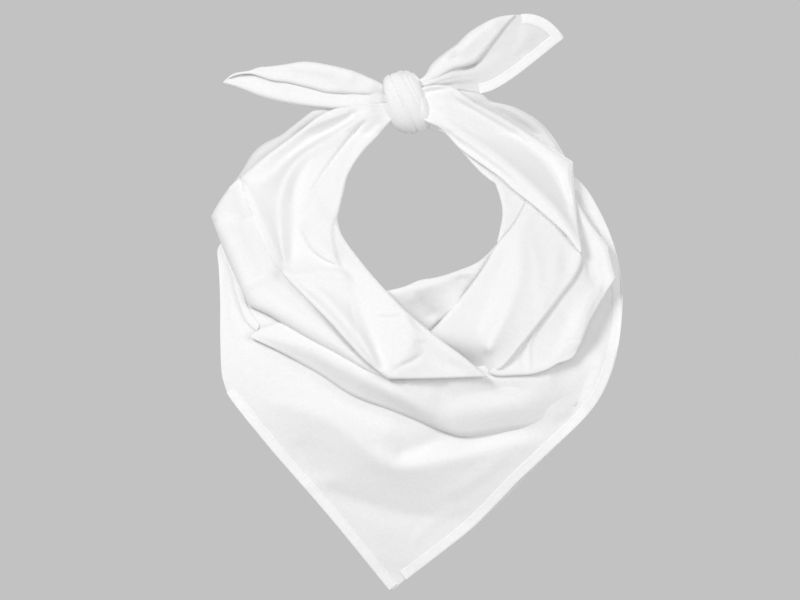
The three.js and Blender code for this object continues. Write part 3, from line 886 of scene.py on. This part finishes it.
def right_cowl():
    top = path([(116, -61), (131, -75), (150, -94), (163.5, -113)])
    left = path([(116, -61), (105, -82), (95, -96), (86, -106), (73, -128), (58, -149), (42, -168),
                 (26, -186), (14, -196)])
    right = path([(163.5, -113), (165.5, -120), (163.5, -129), (158, -139), (148, -152), (128, -177),
                  (108, -201), (92, -220), (80, -230)])
    bottom = path([(14, -196), (36, -210), (58, -222), (74, -233), (80, -230)])
    folds = [
        [(114, -84, 2), (106, -105, 5), (106, -135, 7), (96, -165, 8), (84, -190, 9), (76, -205, 8)],
        [(128, -74, -1), (144, -90, -1), (158, -108, 0)],
        [(144, -104, 1), (140, -120, 3), (137, -142, 4), (127, -164, 5)],
        [(116, -64, -1), (105, -82, 0), (95, -96, 0), (88, -104, -2), (80, -117, -8), (73, -128, -11),
         (58, -149, -18), (44, -168, -26), (30, -184, -29), (16, -195, -29)],
        [(96, -120, 3), (86, -145, 2), (76, -170, 1), (68, -190, 0)],
        [(163, -118, 3), (158, -137, 3.5), (141, -160, 3.5), (122, -183, 3.5), (104, -204, 3),
         (88, -222, 1)],
        [(152, -112, 1), (150, -130, 1)],
        [(22, -200, -28), (40, -210, -24), (58, -220, -18), (68, -226, -12), (75, -231, -8)],
    ]
    lines = [crease(0.8, 5, (116, -100), (124, -130), (122, -156))]
    return cloth("right_cowl_cloth", top, bottom, left, right, lift=layer(4), folds=folds, lines=lines,
                 rolls=[("right", 1.8, 14)])


def right_under_lap():
    left = path([(159, -52), (160, -90), (158, -130), (130, -165), (100, -205), (76, -228)])
    right = path([(197, -141), (190, -150), (181, -164), (173, -176), (168, -188), (163, -199)])
    top = path([(159, -52), (160.5, -64), (165, -72), (172, -84), (181, -97), (190, -108.5)],
               [(190, -108.5), (192, -120), (197, -141)])
    bottom = path([(76, -228), (81, -231), (100, -231), (116, -230), (130, -226), (141, -220),
                   (154, -215), (163, -199)])
    folds = [
        [(162, -68, 4), (175, -90, 5), (188, -110, 6), (194, -134, 5)],
        [(168, -100, -1), (172, -125, -2), (178, -145, -1)],
        [(180, -150, 2), (168, -168, 5), (164, -182, 5), (156, -200, 4), (142, -214, 3)],
        [(166, -130, 2), (150, -155, 2.5), (132, -178, 2.5), (112, -200, 2), (96, -216, 1)],
        [(84, -228, 2), (100, -229, 3), (116, -228, 3.5), (130, -224, 3.5), (150, -214, 3)],
        [(150, -180, 0), (138, -198, 1), (128, -214, 2)],
    ]
    lines = [crease(1.3, 1.4, (120, -188), (114, -204), (115, -226)),
             crease(-0.9, 1.6, (108, -204), (106, -214), (111, -228)),
             crease(-1, 1.8, (163, -199), (158, -197), (148, -200))]
    return cloth("right_under_lap_cloth", top, bottom, left, right, lift=layer(2.7), folds=folds,
                 lines=lines, rolls=[("bottom", 1.3, 12), ("right", 1.3, 12), ("top", 1.2, 12)])


# ---- knot ----


RING_ROWS = 44        # mesh points across a strand
RING_COLUMNS = 96     # and round it


def strand_ring(name, centre, half, lean, grooves, slot, power, tuck):
    """A gathered strand wound round the knot: a barrel that leans, with grooves along its pleats.

    A groove is its place across the strand, its depth and width, and how far it drifts round it.
    Higher power makes the barrel squarer, and tuck is the share of its height left at its ends.
    """
    rows, cols = RING_ROWS, RING_COLUMNS
    across = np.linspace(-1, 1, rows)[:, None]
    around = np.linspace(0, 2 * math.pi, cols, endpoint=False)[None, :]
    girth = np.maximum(1 - np.abs(across) ** power, 0) ** 0.5
    girth = tuck + (1 - tuck) * girth
    swell = np.zeros((rows, cols))
    for place, depth, width, drift in grooves:
        track = place + drift * np.sin(around)
        swell -= depth * np.exp(-(((across - track) / width) ** 2))
    wide, deep, tall = half
    z_round = np.sin(around) * (tall * girth + swell)
    y_round = -np.cos(around) * (deep * girth + swell)
    x_round = across * wide - lean * z_round
    points = np.stack([centre[0] + x_round, centre[1] + y_round, centre[2] + z_round], axis=-1)
    index = np.arange(rows * cols).reshape(rows, cols)
    right = np.roll(index, -1, axis=1)
    faces = np.stack([index[:-1], index[1:], right[1:], right[:-1]], axis=-1).reshape(-1, 4)
    caps = [list(index[0]), list(index[-1][::-1])]
    obj = new_object(name, points.reshape(-1, 3), [*map(tuple, faces), *map(tuple, caps)], slot)
    fix_normals(obj)
    girth_length = 2 * math.pi * math.sqrt((deep ** 2 + tall ** 2) / 2)
    mesh_area = sum(face.area for face in obj.data.polygons) / MM ** 2
    SHEETS.append((obj, mesh_area / 2 / girth_length, girth_length, "gathered"))
    return obj


def knot():
    wrap = strand_ring("knot_wrap_cloth", (-1, 1, 29.5), (18.5, 18, 29), 0.2,
                       [(-0.62, 0.4, 0.05, -0.4), (-0.4, 0.3, 0.04, -0.38), (-0.14, 1.8, 0.06, -0.4),
                        (0.02, 0.4, 0.04, -0.36), (0.56, 1.0, 0.05, -0.5), (0.8, 0.6, 0.05, -0.5)],
                       "cotton", power=2.5, tuck=0.6)
    side = strand_ring("knot_side_strand_cloth", (15.5, 1.5, 24), (6.0, 17, 20), 0.26,
                       [(-0.2, 0.9, 0.2, -0.2), (0.5, 0.6, 0.2, -0.2)], "cotton", power=2.2, tuck=0.5)
    core = strand_ring("knot_core_cloth", (-0.5, 2.5, 30), (16.5, 15, 30.5), 0.1,
                       [(-0.6, 1.0, 0.07, -0.2), (-0.2, 1.3, 0.07, -0.25), (0.2, 1.0, 0.06, -0.2),
                        (0.6, 1.2, 0.07, -0.2)], "cotton_shade", power=2.4, tuck=0.4)
    return wrap, side, core


# ---- tied ends ----


def left_tail_front():
    top = path([(-178, 50), (-171, 54.5), (-160, 57.5), (-148, 59.5), (-130, 56), (-110, 52), (-90, 47),
                (-60, 44), (-40, 43), (-17, 42)])
    bottom = path([(-178, 49.5), (-160, 43.5), (-140, 35.5), (-120, 30), (-100, 26.5), (-80, 24),
                   (-66, 22.5), (-50, 22.5), (-38, 24), (-14, 27)])
    folds = [
        [(-172, 50, 1), (-158, 45, 2), (-140, 37.5, 3), (-120, 31, 3), (-95, 27.5, 4), (-66, 25, 5),
         (-40, 27, 6), (-20, 30, 5)],
        [(-168, 53, -2), (-158, 53, -4), (-148, 52, -4), (-138, 47, -2), (-125, 43, 0)],
        [(-118, 40, 1), (-95, 36, 1), (-70, 32, 2), (-45, 33, 4), (-22, 35, 5)],
        [(-110, 47, 0), (-85, 41, 0), (-60, 39, 1)],
        [(-148, 42, 1), (-130, 38, 2)],
    ]
    lines = [
        crease(-1, 1.6, (-112, 38), (-80, 33), (-50, 33)),
        crease(-0.9, 1, (-60, 31), (-40, 31.5), (-24, 32)),
        crease(1.2, 1.6, (-151, 56), (-147, 49), (-141, 46)),
        crease(-0.8, 1, (-50, 36.5), (-36, 37), (-22, 37)),
    ]
    return cloth("left_tail_front_cloth", top, bottom, lift=4.5, depth=tail_depth, folds=folds,
                 lines=lines, rolls=[("bottom", 2.0, 10)], reach=12, soften=1, uneven=0.3,
                 sink=into_knot(8, 40))


def left_tail_back():
    top = path([(-178, 50.2), (-172, 55.5), (-167, 58.5), (-152, 61), (-143, 64), (-130, 65), (-115, 67),
                (-100, 69), (-85, 67.5), (-64, 63), (-50, 59), (-34, 52), (-14, 42)])
    bottom = path([(-178, 49.8), (-173.5, 53), (-165, 57), (-151, 58), (-140, 54.5), (-129, 51),
                   (-114, 49), (-94, 44), (-78, 39.5), (-60, 38), (-40, 37), (-14, 36)])
    folds = [
        [(-150, 61.5, -1), (-120, 63, 0), (-95, 62, 2), (-66, 57, 4), (-54, 57, 5)],
        [(-130, 53, 2), (-112, 51, 2), (-94, 46, 2), (-70, 41, 2), (-45, 39, 3), (-20, 38, 2)],
        [(-54, 57, 5), (-58, 50, 4), (-63, 43, 2)],
        [(-108, 56, -1), (-88, 52, -1), (-72, 48, -1)],
        [(-40, 46, 3), (-30, 44, 4), (-20, 38, 4)],
    ]
    lines = [
        crease(-1.6, 1.6, (-140, 63), (-122, 59), (-106, 52), (-96, 47)),
        crease(-1, 1.4, (-128, 65), (-112, 60), (-100, 52)),
        crease(-0.9, 1.5, (-150, 61), (-134, 58), (-116, 52)),
        crease(-1.2, 1.6, (-52, 50), (-38, 48), (-24, 41)),
        crease(1.2, 1.5, (-44, 44), (-34, 47), (-27, 42)),
    ]
    return cloth("left_tail_back_cloth", top, bottom, lift=5.8, depth=tail_depth, folds=folds,
                 lines=lines, rolls=[("top", 1.6, 9), ("bottom", 0.7, 5)], reach=12, soften=1, uneven=0.3,
                 sink=into_knot(7, 40))


TAIL_END = path([(104, 114), (118, 115), (132, 111), (143, 103), (151.5, 93)])


def right_tail_inner():
    top = path([(10, 49), (18, 55), (24, 65), (32, 73), (48, 85), (61, 97), (76, 106), (90, 111),
                (104, 114)])
    bottom = path([(10, 40), (30, 43), (48, 42), (71, 38.5)],
                  [(71, 38.5), (80, 41), (90, 46), (105, 56), (123, 70), (142, 85.5), (151.5, 93)])
    folds = [
        [(20, 45, 4), (35, 51, 5), (50, 56, 4), (75, 62, 2), (100, 74, 1)],
        [(50, 61, 1), (60, 65, -3), (68, 69, -1), (90, 86, 0), (104, 104, 0)],
        [(30, 58, 2), (50, 72, 1), (80, 96, 0)],
        [(110, 76, 0), (118, 90, 3), (120, 104, 1)],
        [(60, 46, 1), (84, 52, 2), (110, 69, 2), (136, 88, 2)],
    ]
    lines = [
        crease(-1.4, 1.5, (16, 43), (30, 46), (46, 46)),
        crease(1.4, 1.6, (16, 45), (34, 52), (52, 57)),
        crease(1, 1.6, (20, 44), (44, 50), (70, 52)),
        crease(-2.4, 2.2, (52, 62), (60, 64.5), (67, 66)),
        crease(0.8, 3, (100, 72), (112, 88), (116, 104)),
    ]
    return cloth("right_tail_inner_cloth", top, bottom, right=TAIL_END, lift=2, depth=tail_depth,
                 slot="cotton_shade", folds=folds, lines=lines, rolls=[("top", 1.5, 8)], reach=14,
                 soften=1, uneven=0.4, sink=into_knot(3, 34))


def right_tail_turnover():
    top = path([(10, 50), (17, 55), (23.5, 66), (32, 74), (48, 86), (61, 98), (76, 107), (88, 112),
                (104, 114.5)])
    bottom = path([(10, 44), (22, 48), (34, 56), (46, 62), (58, 65), (66, 68), (72, 74), (78, 82),
                   (86, 92), (95, 104), (104, 114)])
    folds = [
        [(20, 50, 2), (34, 58, 3), (46, 63, 3), (56, 65, 2)],
        [(20, 60, -3), (34, 74, -3), (50, 87, -3), (76, 106, -2)],
        [(30, 64, 2), (46, 78, 3), (60, 91, 3), (82, 109, 2)],
        [(44, 70, 0), (60, 82, 0), (80, 102, 0)],
        [(62, 69, 1), (74, 79, 1), (90, 101, 1)],
    ]
    lines = [
        crease(1.4, 1.5, (16, 50), (34, 62), (54, 70)),
        crease(1.2, 1.5, (18, 52), (32, 68), (50, 84)),
        crease(-2.8, 1.3, (28, 60), (50, 78), (66, 92), (86, 111)),
        crease(1.6, 1.4, (34, 62), (56, 80), (74, 97), (90, 110)),
        crease(-1.6, 1.4, (26, 57), (44, 68), (60, 72)),
        crease(-1, 1.2, (24, 62), (36, 76), (52, 90)),
        crease(0.9, 1.6, (40, 66), (60, 82), (80, 100)),
    ]
    return cloth("right_tail_turnover_cloth", top, bottom, lift=3.8, depth=tail_depth, folds=folds,
                 lines=lines, rolls=[("top", 1.6, 9), ("bottom", 0.8, 6)], reach=12, soften=1, uneven=0.3,
                 sink=into_knot(5, 34))


# ---- build ----

LOOP = "neck_loop"
RIGHT_HEM_TRIM = 15  # the right hem stops short of the point's tip
TAIL_HEM_TRIM = 6    # and the tied end's hem short of its upper corner


def build_loop():
    pieces = {
        lower_swag: ["lower_swag"], left_side_fold: ["left_side_fold"], left_swag: ["left_swag"],
        left_drape: ["left_band_front", "left_cowl"], left_band_back: ["left_band_back"],
        right_band_back: ["right_band_back"], right_band: ["right_band_front"],
        right_inner_strip: ["right_inner_strip"], right_cowl: ["right_cowl"],
        right_under_lap: ["right_under_lap"],
    }
    for make, nodes in pieces.items():
        obj = make()
        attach(obj, LOOP)
        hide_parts(*nodes)
    for obj, node in zip(knot(), ("knot_wrap", "knot_side_strand", "knot_core")):
        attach(obj, LOOP)
        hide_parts(node)


def across_fold(obj):
    """Bakes the piece's placement into its mesh."""
    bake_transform(obj)


def build_chest():
    front, rear = front_panel(), rear_panel()
    across_fold(front)
    across_fold(rear)
    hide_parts("front_panel", "right_wing", "point_front")
    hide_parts("rear_panel", "point_rear")
    along = lengths(PANEL_RIGHT)
    right_edge = PANEL_RIGHT[along < along[-1] - RIGHT_HEM_TRIM]
    hems = [
        (hem("left_hem_cloth", path(LEFT_HEM), -1, "front_cloth", seed=1.5),
         ["left_hem_upper", "left_hem_lower"]),
        (hem("right_hem_cloth", right_edge, 1, "front_cloth", seed=4.5),
         ["right_hem_upper", "right_hem_lower", "right_wing_hem"]),
        (hem("rear_hem_cloth", path(REAR_HEM), 1, "rear_cloth", front=-1, seed=8.5), ["rear_hem"]),
    ]
    rows = [
        (stitching("left_hem_thread", "left_hem_cloth", "front_cloth"),
         ["left_hem_upper_stitching", "left_hem_lower_stitching"]),
        (stitching("right_hem_thread", "right_hem_cloth", "front_cloth"),
         ["right_hem_upper_stitching", "right_hem_lower_stitching", "right_wing_hem_stitching"]),
    ]
    for obj, nodes in [*hems, *rows]:
        across_fold(obj)
        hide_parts(*nodes)


def build_tails():
    front, back = left_tail_front(), left_tail_back()
    for obj, node in ((back, "left_tail_back"), (front, "left_tail_front")):
        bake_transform(obj)
        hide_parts(node)
    inner, turnover = right_tail_inner(), right_tail_turnover()
    lower = path([(151, 92.6), (142, 85.5), (123, 70), (105, 56), (90, 46), (80, 41), (70, 38.6)])
    inside = "right_tail_inner_cloth"
    end = TAIL_END[lengths(TAIL_END) > TAIL_HEM_TRIM]
    end_hem = hem("right_tail_end_hem_cloth", end, 1, inside, seed=12.0)
    lower_hem = hem("right_tail_lower_hem_cloth", lower, 1, inside, seed=15.0)
    pieces = [
        (inner, "right_tail_inner"), (turnover, "right_tail_turnover"), (end_hem, "right_tail_end_hem"),
        (lower_hem, "right_tail_lower_hem"),
        (stitching("right_tail_end_thread", "right_tail_end_hem_cloth", inside),
         "right_tail_end_hem_stitching"),
        (stitching("right_tail_lower_thread", "right_tail_lower_hem_cloth", inside),
         "right_tail_lower_hem_stitching"),
    ]
    for obj, node in pieces:
        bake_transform(obj)
        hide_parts(node)


# ---- camera, light and floor, in metres ----

CAMERA_AIM = (-0.0067, -0.055, -0.1605)
WIDTH_SEEN = 0.760
LIGHT_AIM = (0, -0.05, -0.17)
FLOOR_LEVEL = -0.95
FLOOR_RADIUS = 1.6
BACKDROP = (0.539, 0.539, 0.539, 1)
AMBIENT = (0.42, 0.42, 0.422, 1)
FLOOR_COLOR = (0.55, 0.55, 0.55, 1)


def camera():
    data = bpy.data.cameras.new("camera")
    data.lens = 200
    data.sensor_width = 36
    data.clip_end = 50
    view = bpy.data.objects.new("camera", data)
    distance = WIDTH_SEEN * data.lens / data.sensor_width
    view.location = (CAMERA_AIM[0], CAMERA_AIM[1] - distance, CAMERA_AIM[2])
    view.rotation_euler = (math.pi / 2, 0, 0)
    bpy.context.scene.collection.objects.link(view)
    bpy.context.scene.camera = view


def area_light(name, place, size, power):
    data = bpy.data.lights.new(name, "AREA")
    data.shape = "DISK"
    data.size = size
    data.energy = power
    light = bpy.data.objects.new(name, data)
    light.location = place
    aim = Vector(LIGHT_AIM) - Vector(place)
    light.rotation_euler = aim.to_track_quat("-Z", "Y").to_euler()
    bpy.context.scene.collection.objects.link(light)


def studio():
    area_light("key", (-1.8, -2.2, 1.5), 1.3, 56)
    area_light("fill", (1.6, -2.4, 0.3), 1.8, 25)
    area_light("back", (1.4, 2.4, 1.2), 1.4, 62)
    world = bpy.data.worlds.new("studio")
    world.use_nodes = True
    nodes, links = world.node_tree.nodes, world.node_tree.links
    seen = nodes["Background"]
    seen.inputs["Color"].default_value = BACKDROP
    ambient = nodes.new("ShaderNodeBackground")
    ambient.inputs["Color"].default_value = AMBIENT
    rays = nodes.new("ShaderNodeLightPath")
    mix = nodes.new("ShaderNodeMixShader")
    links.new(rays.outputs["Is Camera Ray"], mix.inputs["Fac"])
    links.new(ambient.outputs["Background"], mix.inputs[1])
    links.new(seen.outputs["Background"], mix.inputs[2])
    links.new(mix.outputs["Shader"], nodes["World Output"].inputs["Surface"])
    bpy.context.scene.world = world
    bpy.context.scene.view_settings.view_transform = "Standard"


def floor():
    bpy.ops.mesh.primitive_circle_add(vertices=96, radius=FLOOR_RADIUS, fill_type="NGON",
                                      location=(0, 0, FLOOR_LEVEL))
    disc = bpy.context.object
    disc.name = "floor"
    paint = bpy.data.materials.new("floor")
    paint.use_nodes = True
    shader = paint.node_tree.nodes["Principled BSDF"]
    shader.inputs["Base Color"].default_value = FLOOR_COLOR
    shader.inputs["Roughness"].default_value = 0.9
    disc.data.materials.append(paint)


camera()
studio()
floor()
build_loop()
build_chest()
build_tails()
